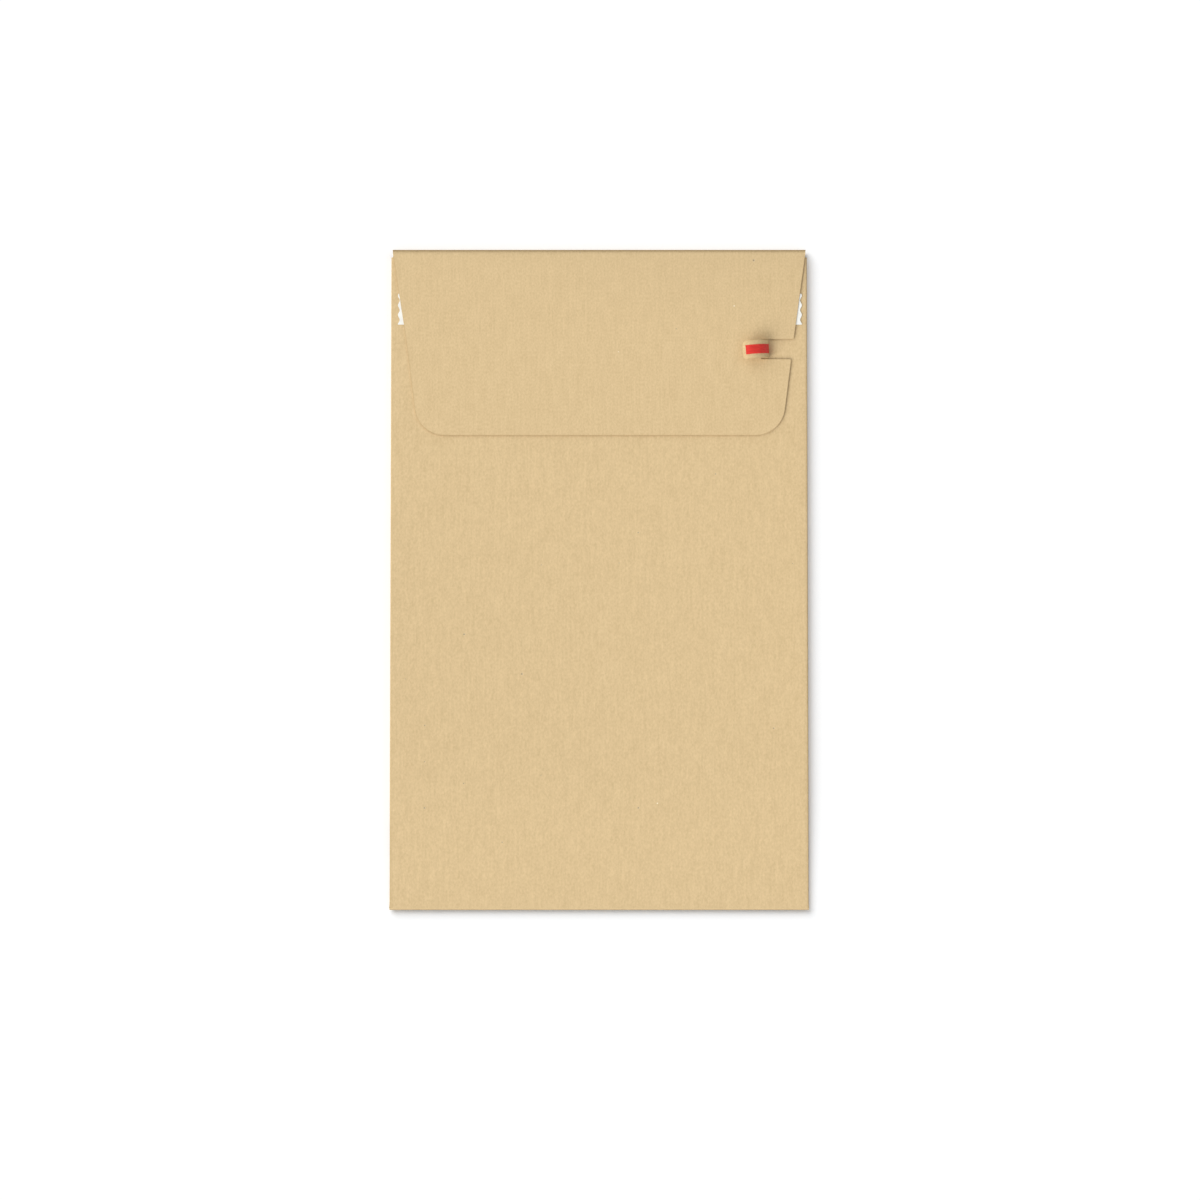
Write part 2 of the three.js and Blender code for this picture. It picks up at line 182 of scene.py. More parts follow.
def kraft_paper(name, base, swing, painted_shade, relief):
    """Unbleached paper: fibres, faint stripes, clouds and specks round a base, with painted shade at its
    folds and cut edges.
    """
    material = bpy.data.materials.new(name)
    material.use_nodes = True
    tree = material.node_tree
    shader = tree.nodes["Principled BSDF"]
    flat = add(tree, "ShaderNodeAttribute", attribute_name="flat").outputs["Vector"]

    # Each layer is a noise that is finer across the machine direction than along it. Real fibres are
    # 0.03 mm thick: these are 0.9 mm clumps of them, the finest that shows when the whole bag is seen.
    # The stripes are 1.4 mm apart and 22 mm long, and the clouds are 7 by 9 mm
    layers = (
        ("fibres", (1100, 700, 1100), 1.1),
        ("stripes", (700, 45, 700), 0.45),
        ("clouds", (150, 110, 150), 0.4),
    )
    tone = 0.5
    noises = {}
    for layer, per_metre, weight in layers:
        space = add(tree, "ShaderNodeMapping", {"Vector": flat, "Scale": per_metre})
        noises[layer] = add(tree, "ShaderNodeTexNoise", {"Vector": space, "Scale": 1, "Detail": 3})
        centred = add(tree, SUM, (noises[layer], 0.5), operation="SUBTRACT")
        tone = add(tree, SUM, (centred, weight, tone), operation="MULTIPLY_ADD")
    light, dark = linear(base, swing=swing), linear(base, swing=-swing)
    colour = add(tree, "ShaderNodeMix", {0: tone, 6: dark, 7: light}, data_type="RGBA").outputs[2]

    # Specks up to 1 mm across. A cell is 11 mm wide, and only the few that are drawn by lot show one.
    # A speck is whole out to its core and gone at its rim, both in shares of a cell, and a second
    # lot from 0.6 to 1.6 divides its size
    cells_per_metre, core, rim, size_lot = 90, 0.014, 0.044, 0.6
    for speck, lowest in (("fff4df", 0.965), ("a88c64", 0.97)):
        moved = {"Vector": flat, "Location": (lowest, 0, 0), "Scale": [cells_per_metre] * 3}
        place = add(tree, "ShaderNodeMapping", moved)
        cells = add(tree, "ShaderNodeTexVoronoi", {"Vector": place, "Scale": 1}, voronoi_dimensions="2D")
        lot = add(tree, "ShaderNodeSeparateColor", {"Color": cells.outputs["Color"]})
        chosen = add(tree, SUM, (lot, lowest), operation="GREATER_THAN")
        smaller = add(tree, SUM, (lot.outputs["Green"], size_lot), operation="ADD")
        reach = add(tree, SUM, (cells.outputs["Distance"], smaller), operation="MULTIPLY")
        faded = {"Value": reach, "From Min": core, "From Max": rim, "To Min": 1, "To Max": 0}
        spot = add(tree, "ShaderNodeMapRange", faded)
        shown = add(tree, SUM, (spot, chosen), operation="MULTIPLY")
        mix = add(tree, "ShaderNodeMix", {0: shown, 6: colour, 7: linear(speck)}, data_type="RGBA")
        colour = mix.outputs[2]

    # Painted shade: along each fold and each cut edge the colour is mixed towards a darker brown, where
    # shade falls on a rim and beside an edge
    fold = add(tree, "ShaderNodeAttribute", attribute_name="fold").outputs["Fac"]
    edge_shade = add(tree, "ShaderNodeAttribute", attribute_name="painted_edge_shade").outputs["Fac"]
    painted_shade_mask = add(tree, SUM, (fold, edge_shade), operation="MAXIMUM")
    shaded = add(tree, "ShaderNodeMix", {0: painted_shade_mask, 6: colour, 7: linear(painted_shade)}, data_type="RGBA")

    roughness = add(tree, "ShaderNodeMapRange", {"Value": noises["clouds"], "To Min": 0.8, "To Max": 0.92})
    height = add(tree, SUM, (noises["stripes"], noises["fibres"]), operation="ADD")
    bump = add(tree, "ShaderNodeBump", {"Strength": relief, "Distance": relief_depth, "Height": height})
    tree.links.new(shaded.outputs[2], shader.inputs["Base Color"])
    tree.links.new(roughness.outputs[0], shader.inputs["Roughness"])
    tree.links.new(bump.outputs[0], shader.inputs["Normal"])
    shader.inputs["IOR"].default_value = 1.5
    shader.inputs["Specular IOR Level"].default_value = 0.25
    return material


# b1966a is the painted shade at folds and cut edges
kraft_outer = kraft_paper("machine_glazed_kraft_paper", "dcc193", swing=14, painted_shade="b1966a", relief=0.5)
# The rough side is a shade darker than the smooth one: partly its own tone, partly painted shade for the
# curled tab, whose rough side faces up
kraft_inner = kraft_paper("kraft_paper_rough_side", "d2b688", swing=16, painted_shade="b1966a", relief=0.9)
print("materials:", kraft_outer.name, kraft_inner.name)

# %% [markdown]
# ## Release paper, tear tape and adhesive
#
# The liner over an adhesive strip is glassine: a dense white paper, pressed smooth and coated with
# silicone on one side, so it is brighter and a little shinier than kraft. The tear tape is red
# polypropylene film that was drawn lengthwise, which leaves fine lines along it. The adhesive is a
# clear rubbery film with a slight orange-peel surface.

# %% Smooth strips
def strip_material(name, base, shade, stretch, roughness, ior, relief):
    """A smooth strip with a faint pattern of marks: stretch is how many a metre in X, Y and Z."""
    material = bpy.data.materials.new(name)
    material.use_nodes = True
    tree = material.node_tree
    shader = tree.nodes["Principled BSDF"]
    place = add(tree, "ShaderNodeTexCoord").outputs["Object"]
    space = add(tree, "ShaderNodeMapping", {"Vector": place, "Scale": stretch})
    marks = add(tree, "ShaderNodeTexNoise", {"Vector": space, "Scale": 1, "Detail": 3})
    ramp = add(tree, "ShaderNodeValToRGB", {"Fac": marks})
    ramp.color_ramp.elements[0].position = 0.3
    ramp.color_ramp.elements[0].color = linear(shade)
    ramp.color_ramp.elements[1].position = 0.6
    ramp.color_ramp.elements[1].color = linear(base)
    bump = add(tree, "ShaderNodeBump", {"Strength": relief, "Distance": relief_depth, "Height": marks})
    uneven = 0.04
    spread = {"Value": marks, "To Min": roughness - uneven, "To Max": roughness + uneven}
    gloss = add(tree, "ShaderNodeMapRange", spread)
    tree.links.new(ramp.outputs[0], shader.inputs["Base Color"])
    tree.links.new(gloss.outputs[0], shader.inputs["Roughness"])
    tree.links.new(bump.outputs[0], shader.inputs["Normal"])
    shader.inputs["IOR"].default_value = ior
    shader.inputs["Specular IOR Level"].default_value = 0.35
    return material


# Each with its colour, its shade, its marks a metre, its roughness, its IOR and its relief
glassine = strip_material("silicone_coated_glassine", "fbfbf5", "f3f2eb", (300, 300, 300), 0.45, 1.45, 0.2)
red_film = strip_material("drawn_polypropylene_film", "dd3329", "c42920", (60, 1400, 1400), 0.38, 1.49, 0.4)
tack_film = strip_material("acrylic_adhesive_film", "efe7cf", "dfd3b2", (500, 500, 500), 0.18, 1.47, 0.6)
dry_glue = strip_material("dry_dextrin_glue", "e9e2cf", "d8ceb4", (260, 260, 260), 0.4, 1.46, 0.5)
print("strip materials:", glassine.name, red_film.name, tack_film.name, dry_glue.name)

# %% [markdown]
# ## A rule that folds a sheet
#
# A crease could be made by bending a mesh by hand or with a Simple Deform modifier. A small Geometry
# Nodes tree is better, because it bends the sheet by its own length, as paper does: no point moves
# nearer to its neighbour. Up to the crease the sheet lies flat. Then it turns through a tight arc.
# Then it may turn on through an easier arc, where the paper springs back, and past that it runs
# straight. With a1 and a2 the angles reached on the two arcs, and r the length that is left:
#
#     y = crease + tight * sin(a1) + easy * (sin(a2) - sin(a1)) + cos(a2) * r
#     z = height + tight * (1 - cos(a1)) + easy * (cos(a1) - cos(a2)) + sin(a2) * r

# %% The folding tree
def new_tree(name, floats=(), others=()):
    """An empty geometry tree with a geometry going in and out, and named inputs for its sizes."""
    tree = bpy.data.node_groups.new(name, "GeometryNodeTree")
    tree.interface.new_socket("Geometry", in_out="INPUT", socket_type="NodeSocketGeometry")
    for label in floats:
        tree.interface.new_socket(label, in_out="INPUT", socket_type="NodeSocketFloat")
    for label, kind in others:
        tree.interface.new_socket(label, in_out="INPUT", socket_type=kind)
    tree.interface.new_socket("Geometry", in_out="OUTPUT", socket_type="NodeSocketGeometry")
    return tree, add(tree, "NodeGroupInput")


def finish_tree(tree, geometry, material):
    """Every tree ends in real geometry with a material on it."""
    real = add(tree, "GeometryNodeRealizeInstances", {"Geometry": geometry})
    painted = add(tree, "GeometryNodeSetMaterial", {"Geometry": real, "Material": material})
    add(tree, "NodeGroupOutput", (painted,))
    return tree


def remember(tree, geometry, flat, fold):
    """Stores each point's place on the flat sheet, and how near it is to a fold, where the material paints
    shade.
    """
    inputs = {"Geometry": geometry, "Name": "flat", "Value": flat}
    placed = add(tree, "GeometryNodeStoreNamedAttribute", inputs, data_type="FLOAT_VECTOR", domain="POINT")
    inputs = {"Geometry": placed, "Name": "fold", "Value": fold}
    return add(tree, "GeometryNodeStoreNamedAttribute", inputs, data_type="FLOAT", domain="POINT")


def folding_tree():
    """The rule as a tree: a flat sheet goes in, and comes out folded along X."""
    sizes = ("Crease", "Height", "Tight Radius", "Tight Turn", "Easy Radius", "Easy Turn")
    tree, given = new_tree("Fold a sheet", sizes, [("Material", "NodeSocketMaterial")])
    crease, height, tight, tight_turn, easy, easy_turn = (given.outputs[label] for label in sizes)

    # The length past the crease is shared out: tight arc first, then easy arc, then the straight rest
    position = add(tree, "GeometryNodeInputPosition")
    flat = add(tree, "ShaderNodeSeparateXYZ", (position,))
    length = add(tree, SUM, (flat.outputs["Y"], crease), operation="SUBTRACT")
    tight_length = add(tree, SUM, (tight, tight_turn), operation="MULTIPLY")
    easy_length = add(tree, SUM, (easy, easy_turn), operation="MULTIPLY")
    on_tight = add(tree, "ShaderNodeClamp", {"Value": length, "Min": 0.0, "Max": tight_length})
    past_tight = add(tree, SUM, (length, tight_length), operation="SUBTRACT")
    on_easy = add(tree, "ShaderNodeClamp", {"Value": past_tight, "Min": 0.0, "Max": easy_length})
    off_tight = add(tree, SUM, (length, on_tight), operation="SUBTRACT")
    rest = add(tree, SUM, (off_tight, on_easy), operation="SUBTRACT")
    a1 = add(tree, SUM, (on_tight, tight), operation="DIVIDE")
    eased = add(tree, SUM, (on_easy, easy), operation="DIVIDE")
    a2 = add(tree, SUM, (a1, eased), operation="ADD")
    sin1, cos1, sin2, cos2 = (
        add(tree, SUM, (angle,), operation=ratio) for angle in (a1, a2) for ratio in ("SINE", "COSINE")
    )

    # Along: the crease, then each arc's reach, then the straight rest
    easy_reach = add(tree, SUM, (sin2, sin1), operation="SUBTRACT")
    y = add(tree, SUM, (tight, sin1, crease), operation="MULTIPLY_ADD")
    y = add(tree, SUM, (easy, easy_reach, y), operation="MULTIPLY_ADD")
    y = add(tree, SUM, (cos2, rest, y), operation="MULTIPLY_ADD")
    # Up: the same, with each arc's rise
    tight_rise = add(tree, SUM, (1.0, cos1), operation="SUBTRACT")
    easy_rise = add(tree, SUM, (cos1, cos2), operation="SUBTRACT")
    z = add(tree, SUM, (tight, tight_rise, height), operation="MULTIPLY_ADD")
    z = add(tree, SUM, (easy, easy_rise, z), operation="MULTIPLY_ADD")
    z = add(tree, SUM, (sin2, rest, z), operation="MULTIPLY_ADD")
    folded = add(tree, "ShaderNodeCombineXYZ", (flat.outputs["X"], y, z))

    # Half way round the tight arc is the rim of the fold, and shade is painted along it. How far off the
    # rim the painted shade is full, and where it ends, are shares of that arc
    shaded, unshaded = 0.2, 0.38
    turned = add(tree, SUM, (a1, tight_turn), operation="DIVIDE")
    past_rim = add(tree, SUM, (turned, 0.5), operation="SUBTRACT")
    off_rim = add(tree, SUM, (past_rim,), operation="ABSOLUTE")
    band = {"Value": off_rim, "From Min": unshaded, "From Max": shaded, "To Max": 1.0}
    fold = add(tree, "ShaderNodeMapRange", band, interpolation_type="SMOOTHSTEP")
    kept = remember(tree, given.outputs["Geometry"], position, fold)
    moved = add(tree, "GeometryNodeSetPosition", {"Geometry": kept, "Position": folded})
    return finish_tree(tree, moved, given.outputs["Material"])


fold_rule = folding_tree()
print("folding tree:", len(fold_rule.nodes), "nodes")

# %% [markdown]
# ## From a flat cut to a finished sheet
#
# A sheet is cut as an outline with rounded corners, and sliced into rows where it will bend. Then
# the tree folds it, a Solidify modifier gives it the thickness of paper, and the result is kept as
# a plain mesh. The face that was on top while it lay flat gets the second material, so that a sheet is
# smooth on one side and rough on the other.
#
# A narrow band along each cut is painted darker: painted shade for the thin shadow line that runs round
# the flap's edge. The outline is inset by the width of that band, and an attribute on the points
# tells the material where the band is.

# %% Cutting, folding and thickening
# Along a cut edge the colour takes half as much painted shade as at a fold's rim. Points closer than a
# few hairs are one point, and faces that meet at more than the sharp angle keep an edge between them
edge_shade_share = 0.5
hair = 0.001 * MM
sharp_edge = math.radians(40)


def rounded(corners, steps=10):
    """The outline through corners (x, y, radius), counter-clockwise, with round corners as arcs."""
    outline = []
    for n, (x, y, radius) in enumerate(corners):
        corner = Vector((x, y))
        if radius == 0:
            outline.append(corner)
            continue
        back = (Vector(corners[n - 1][:2]) - corner).normalized()
        onward = (Vector(corners[(n + 1) % len(corners)][:2]) - corner).normalized()
        half = back.angle(onward) / 2
        centre = corner + (back + onward).normalized() * radius / math.sin(half)
        start = corner + back * radius / math.tan(half) - centre
        sweep = start.angle_signed(corner + onward * radius / math.tan(half) - centre)
        outline += [centre + Matrix.Rotation(-sweep * i / steps, 2) @ start for i in range(steps + 1)]
    return outline


def cut_sheet(name, outline, rows, shade_band=0):
    """A flat mesh inside the outline, sliced along X at each Y in rows, with a band of painted shade along
    its cut.
    """
    mesh = bmesh.new()
    face = mesh.faces.new([mesh.verts.new((p.x, p.y, 0)) for p in outline])
    if shade_band:
        face.normal_update()
        bmesh.ops.inset_region(mesh, faces=[face], thickness=shade_band, use_boundary=True)
        edge_shade = mesh.verts.layers.float.new("painted_edge_shade")
        for vertex in mesh.verts:
            vertex[edge_shade] = edge_shade_share if vertex.is_boundary else 0
    for y in rows:
        parts = [*mesh.verts, *mesh.edges, *mesh.faces]
        bmesh.ops.bisect_plane(mesh, geom=parts, dist=hair, plane_co=(0, y, 0), plane_no=(0, 1, 0))
    bmesh.ops.remove_doubles(mesh, verts=mesh.verts, dist=5 * hair)
    bmesh.ops.triangulate(mesh, faces=mesh.faces)
    data = bpy.data.meshes.new(name)
    mesh.to_mesh(data)
    mesh.free()
    sheet = bpy.data.objects.new(name, data)
    bpy.context.scene.collection.objects.link(sheet)
    return sheet


def set_inputs(modifier, values):
    """Sets a tree's named inputs, each by its socket's identifier."""
    for item in modifier.node_group.interface.items_tree:
        if item.in_out == "INPUT" and item.name in values:
            modifier[item.identifier] = values[item.name]


def baked(source, thickness, top_material=None, place=Matrix.Identity(4)):
    """The source with its modifiers and a thickness worked in, as a plain mesh in its place."""
    solid = source.modifiers.new("Thickness", "SOLIDIFY")
    solid.thickness = thickness
    solid.offset = 0
    solid.use_even_offset = True
    solid.material_offset = 1 if top_material else 0
    bpy.context.view_layer.update()
    name = source.name
    depsgraph = bpy.context.evaluated_depsgraph_get()
    data = bpy.data.meshes.new_from_object(source.evaluated_get(depsgraph), depsgraph=depsgraph)
    bpy.data.objects.remove(source)
    if data.materials[0] is None:
        data.materials.pop(index=0)
    if top_material:
        data.materials.append(top_material)
    data.transform(place)
    data.polygons.foreach_set("use_smooth", [True] * len(data.polygons))
    data.set_sharp_from_angle(angle=sharp_edge)
    piece = bpy.data.objects.new(name, data)
    bpy.context.scene.collection.objects.link(piece)
    print(name, len(data.polygons), "faces")
    return piece


def fold_rows(crease, radius, turn, count=28):
    """Where to slice a sheet for an arc: evenly along the stretch that bends."""
    return [crease + radius * turn * i / count for i in range(count + 1)]


print("cutting and folding helpers are ready")

# %% [markdown]
# ## The flap
#
# The flap is the back panel's own paper. It starts at the mouth, narrows by the width of a cut, turns
# over the fold and comes down over the front. Its sides lean in, its lower corners are round, and
# an open notch in its right edge is where the tear strip begins. All of it is one cut sheet here, so
# the fold can never open a seam.
#
# Points on the sheet are given by how far down the front they end up: the depth below the top.

# %% The flap, cut flat and folded over
def on_sheet(depth):
    """Where a place on the closed flap, so far below the top of the fold, lies on the flat sheet."""
    return crease_y + math.pi * crease_radius + crease_y - (top_y - depth)


def flap_corners():
    """The flap's cut on the flat sheet, counter-clockwise from the mouth's right end."""
    fold_half = half_width - fold_inset
    fold_front = on_sheet(top_y - crease_y)
    upper = top_y - notch_y - notch_width / 2
    lower = upper + notch_width
    right = [
        (fold_half, mouth_y, 0),
        (fold_half, crease_y + math.pi * crease_radius / 2, 0),
        (flap_half_width(top_y - crease_y), fold_front, 0),
        (flap_half_width(upper), on_sheet(upper), notch_radius),
        (notch_root_x, on_sheet(upper), 0),
        (notch_root_x, on_sheet(lower), 0),
        (flap_half_width(lower), on_sheet(lower), notch_radius),
        (half_width - end_inset, on_sheet(flap_depth), end_radius),
    ]
    left = [
        (-half_width + end_inset + cut_drift, on_sheet(flap_depth), end_radius),
        (-half_width + shoulder_inset + cut_drift, on_sheet(shoulder_depth), 0),
        (-flap_half_width(top_y - crease_y), fold_front, 0),
        (-fold_half, crease_y + math.pi * crease_radius / 2, 0),
        (-fold_half, mouth_y, 0),
    ]
    return right + left


# The width of the band of painted shade along the cut edges of the flap and the tab
edge_shade_width = 0.35 * MM
flap_rows = fold_rows(crease_y, crease_radius, math.pi)
flap = cut_sheet("kraft_flap", rounded(flap_corners()), flap_rows, edge_shade_width)
print("the flap's sheet is", round((on_sheet(flap_depth) - mouth_y) / MM, 1), "mm long past the mouth")
fold = flap.modifiers.new("Fold", "NODES")
fold.node_group = fold_rule
set_inputs(
    fold,
    {
        "Crease": crease_y,
        "Height": PAPER / 2,
        "Tight Radius": crease_radius,
        "Tight Turn": math.pi,
        "Easy Radius": 1.0,
        "Easy Turn": 0.0,
        "Material": kraft_outer,
    },
)
flap = baked(flap, PAPER, kraft_inner)
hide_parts("flap", "flap_fold")
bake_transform(flap)

# %% [markdown]
# ## The tube
#
# The pouch is a tube with a gusset in each side. Seen end on, its paper follows one long path: along
# the back, round the right fold, in to the gusset's crease and out again, back across the front, in
# and out on the left, and last a lap that is glued inside the back panel. Flat plates would give the
# right size, but not the round folds or the soft middle of a real bag. So the path is drawn once as a
# curve, its corners are filleted, and Curve to Mesh sweeps it from the bottom to the mouth.
#
# A second rule then works on the height of each point. Near the bottom the front comes down and the
# back comes up until all the layers meet, and in between the front panel sags a little.

# %% The path of the paper round the tube
fold_height = 1.35 * MM
gusset_depth = 30 * MM
lap_width = 12 * MM
glue_thickness = 0.1 * MM
body_inset = 0.25 * MM
panel_step = 15 * MM

edge_x = half_width - body_inset
inner_x = half_width - gusset_depth
back_z = PAPER / 2
front_z = front_high.z - PAPER / 2
middle_z = (back_z + front_z) / 2
lap_z = back_z + PAPER + glue_thickness


def across(start, end):
    """Stations along a wide panel, so that it can sag between its folds. The end ones are near them."""
    near = math.copysign(2 * MM, end - start)
    count = math.ceil(abs(end - start) / panel_step)
    middle = [start + (end - start) * i / count for i in range(1, count)]
    return [start + near, *middle, end - near]


right_side = [
    (edge_x, back_z),
    (edge_x, back_z + fold_height),
    (inner_x, middle_z - fold_height / 2),
    (inner_x, middle_z + fold_height / 2),
    (edge_x, front_z - fold_height),
    (edge_x, front_z),
]
left_side = [
    (-edge_x, front_z),
    (-edge_x, front_z - fold_height),
    (-inner_x, middle_z + fold_height / 2),
    (-inner_x, middle_z - fold_height / 2),
    (-edge_x, lap_z + fold_height),
    (-edge_x, lap_z),
    (-edge_x + lap_width, lap_z),
]
back = [(-edge_x, back_z)] + [(x, back_z) for x in across(-edge_x, edge_x)]
front = [(x, front_z) for x in across(edge_x, -edge_x)]
paper_path = back + right_side + front + left_side
print("the paper's path has", len(paper_path), "corners")

# %% The sweep and the pinch
# Shade is painted on the side folds from this far in from the bag's edge, and most from this far on
shade_starts, shade_full = 1.2 * MM, 0.2 * MM
# Places along the bag, in Y: where the pinch and the wider end run out, and the four of the sag
pinch_high = -109 * MM
flare_end = -184.5 * MM
sag_begins, sag_deep, sag_eases, sag_ends = -170 * MM, -60 * MM, 0.0, 78 * MM


def tube_tree():
    """The rule as a tree: the paper's path goes in, and the pinched and sagging tube comes out."""
    sizes = ("Fold Radius", "Bottom", "Mouth", "Pinch Low", "Pinch High", "Back Rise", "Front Drop", "Sag")
    tree, given = new_tree("Gusseted tube", sizes, [("Material", "NodeSocketMaterial")])
    size = given.outputs

    path = {"Curve": size["Geometry"], "Count": 6, "Radius": size["Fold Radius"], "Limit Radius": True}
    profile = add(tree, "GeometryNodeFilletCurve", path, mode="POLY")
    start = add(tree, "ShaderNodeCombineXYZ", {"Z": size["Bottom"]})
    end = add(tree, "ShaderNodeCombineXYZ", {"Z": size["Mouth"]})
    line = add(tree, "GeometryNodeCurvePrimitiveLine", {"Start": start, "End": end})
    # One station every 3 mm along the bag
    stations = add(tree, "GeometryNodeResampleCurve", {"Curve": line, "Count": 121})
    swept = add(tree, "GeometryNodeCurveToMesh", {"Curve": stations, "Profile Curve": profile})

    # The sweep runs up Z with the section in XY; on the bag it runs along Y with the section in XZ
    position = add(tree, "GeometryNodeInputPosition")
    raw = add(tree, "ShaderNodeSeparateXYZ", (position,))
    x, y, z = raw.outputs["X"], raw.outputs["Z"], raw.outputs["Y"]
    whole = add(tree, "GeometryNodeMergeByDistance", {"Geometry": swept, "Distance": 10 * hair})
    flat = add(tree, "ShaderNodeCombineXYZ", (x, y, z))
    off_middle = add(tree, SUM, (x,), operation="ABSOLUTE")

    # What changes smoothly from one place to another: where it starts and ends, and its two values
    eased = {}
    for what, along, low, high, at_low, at_high in (
        ("fold_shade", off_middle, half_width - shade_starts, half_width - shade_full, 0.0, 0.5),
        ("back", y, size["Pinch Low"], size["Pinch High"], size["Back Rise"], back_z),
        ("front", y, size["Bottom"], size["Pinch High"], size["Front Drop"], front_z),
        ("sinking", y, sag_begins, sag_deep, 0.0, 1.0),
        ("rising", y, sag_eases, sag_ends, 1.0, 0.0),
        ("flare", y, size["Bottom"], flare_end, half_width / edge_x, 1.0),
    ):
        ends = {"Value": along, "From Min": low, "From Max": high, "To Min": at_low, "To Max": at_high}
        eased[what] = add(tree, "ShaderNodeMapRange", ends, interpolation_type="SMOOTHSTEP")
    # The shade painted on the side folds goes to the material as its fold attribute
    kept = remember(tree, whole, flat, eased["fold_shade"])

    # How far up between the two panels a point is, and where the panels are at this height
    between = {"Value": z, "From Min": back_z, "From Max": front_z}
    share = add(tree, "ShaderNodeMapRange", between, clamp=False)
    span = add(tree, SUM, (eased["front"], eased["back"]), operation="SUBTRACT")
    height = add(tree, SUM, (share, span, eased["back"]), operation="MULTIPLY_ADD")

    # The sag: deepest in the middle, and nothing at the folds, at the pinch or under the flap
    side = add(tree, SUM, (x, half_width), operation="DIVIDE")
    side = add(tree, SUM, (side, 2.0), operation="POWER")
    side = add(tree, SUM, (side, 1.0), operation="MINIMUM")
    bowl = add(tree, SUM, (1.0, side), operation="SUBTRACT")
    lengthwise = add(tree, SUM, (eased["sinking"], eased["rising"]), operation="MULTIPLY")
    depth = add(tree, SUM, (bowl, lengthwise), operation="MULTIPLY")
    depth = add(tree, SUM, (depth, size["Sag"]), operation="MULTIPLY")
    on_front = add(tree, SUM, (share, 0.0), operation="MAXIMUM")
    on_front = add(tree, SUM, (on_front, 3.0), operation="POWER")
    lowered = add(tree, SUM, (depth, on_front), operation="MULTIPLY")
    sunk = add(tree, SUM, (height, lowered), operation="SUBTRACT")

    # The pinched end is pressed a quarter millimetre wider than the tube
    wide = add(tree, SUM, (x, eased["flare"]), operation="MULTIPLY")
    place = add(tree, "ShaderNodeCombineXYZ", (wide, y, sunk))
    shaped = add(tree, "GeometryNodeSetPosition", {"Geometry": kept, "Position": place})
    return finish_tree(tree, shaped, size["Material"])


tube_rule = tube_tree()
print("tube tree:", len(tube_rule.nodes), "nodes")

# %% The tube
pinch_lift = back_high.z - PAPER
path_curve = bpy.data.curves.new("kraft_tube", "CURVE")
path_curve.dimensions = "3D"
spline = path_curve.splines.new("POLY")
spline.points.add(len(paper_path) - 1)
for point, (x, z) in zip(spline.points, paper_path):
    point.co = (x, z, 0, 1)
tube = bpy.data.objects.new("kraft_tube", path_curve)
bpy.context.scene.collection.objects.link(tube)
sweep = tube.modifiers.new("Sweep", "NODES")
sweep.node_group = tube_rule
set_inputs(
    sweep,
    {
        "Fold Radius": 0.6 * MM,
        "Bottom": pinch_y,
        "Mouth": mouth_y,
        "Pinch Low": turn_high.y,
        "Pinch High": pinch_high,
        "Back Rise": pinch_lift + PAPER / 2,
        "Front Drop": turn_high.z - PAPER / 2,
        "Sag": 0.7 * MM,
        "Material": kraft_outer,
    },
)
tube = baked(tube, PAPER, kraft_inner)
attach(tube, "pouch")
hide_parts("back_panel", "front_panel", "side_seam_lap")
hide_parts("left_gusset_rear_leaf", "left_gusset_front_leaf")
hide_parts("right_gusset_rear_leaf", "right_gusset_front_leaf")
print("the pinch lifts the back by", round(pinch_lift / MM, 2), "mm")

# %% [markdown]
# ## The turned-up bottom
#
# The tube's end is folded round onto the back and glued there. The fold is tight, only as thick as
# the layers inside it. It is two sheets deep, the second one a little shorter, as a folded stack
# ends in steps. The folding tree makes both: they are folded as if from the back to the front,
# and then the whole is turned half a turn about X, so that the fold points down the bag.

# %% The bottom, two sheets folded round together
pinch_middle = (turn_high.z + turn_low.z) / 2
outer_radius = (turn_high.z - turn_low.z - PAPER) / 2
turn_height = turn_high.y - pinch_y
step_back = 0.8 * MM
print("the bottom turns at a radius of", round(outer_radius / MM, 2), "mm")
for name, radius, setback in (("outer", outer_radius, 0.0), ("inner", outer_radius - PAPER, step_back)):
    far = math.pi * radius + turn_height - setback
    cut = [Vector(p) for p in ((-half_width, 0), (half_width, 0), (half_width, far), (-half_width, far))]
    layer = cut_sheet("kraft_bottom_" + name, cut, fold_rows(0, radius, math.pi, count=16))
    fold = layer.modifiers.new("Fold", "NODES")
    fold.node_group = fold_rule
    set_inputs(
        fold,
        {
            "Crease": 0.0,
            "Height": -radius,
            "Tight Radius": radius,
            "Tight Turn": math.pi,
            "Easy Radius": 1.0,
            "Easy Turn": 0.0,
            "Material": kraft_outer,
        },
    )
    half_turn = Matrix.Translation((0, pinch_y, pinch_middle)) @ Matrix.Rotation(math.pi, 4, "X")
    layer = baked(layer, PAPER, kraft_inner, half_turn)
    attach(layer, "pouch")
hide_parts("bottom_flap")

# %% [markdown]
# ## The liners
#
# A liner strip is cut from a roll by a wavy knife, so its two ends are scalloped. The strip
# is a grid, and one rule moves the points at its ends in and out as a cosine. The return liner is
# longer than the flap is wide, so its ends show past the flap's edges. The closure liner is shorter and
# cut straight: there the wave has no height.

# %% The scalloped strip
wave_pitch = 5.6 * MM
wave_height = 1 * MM


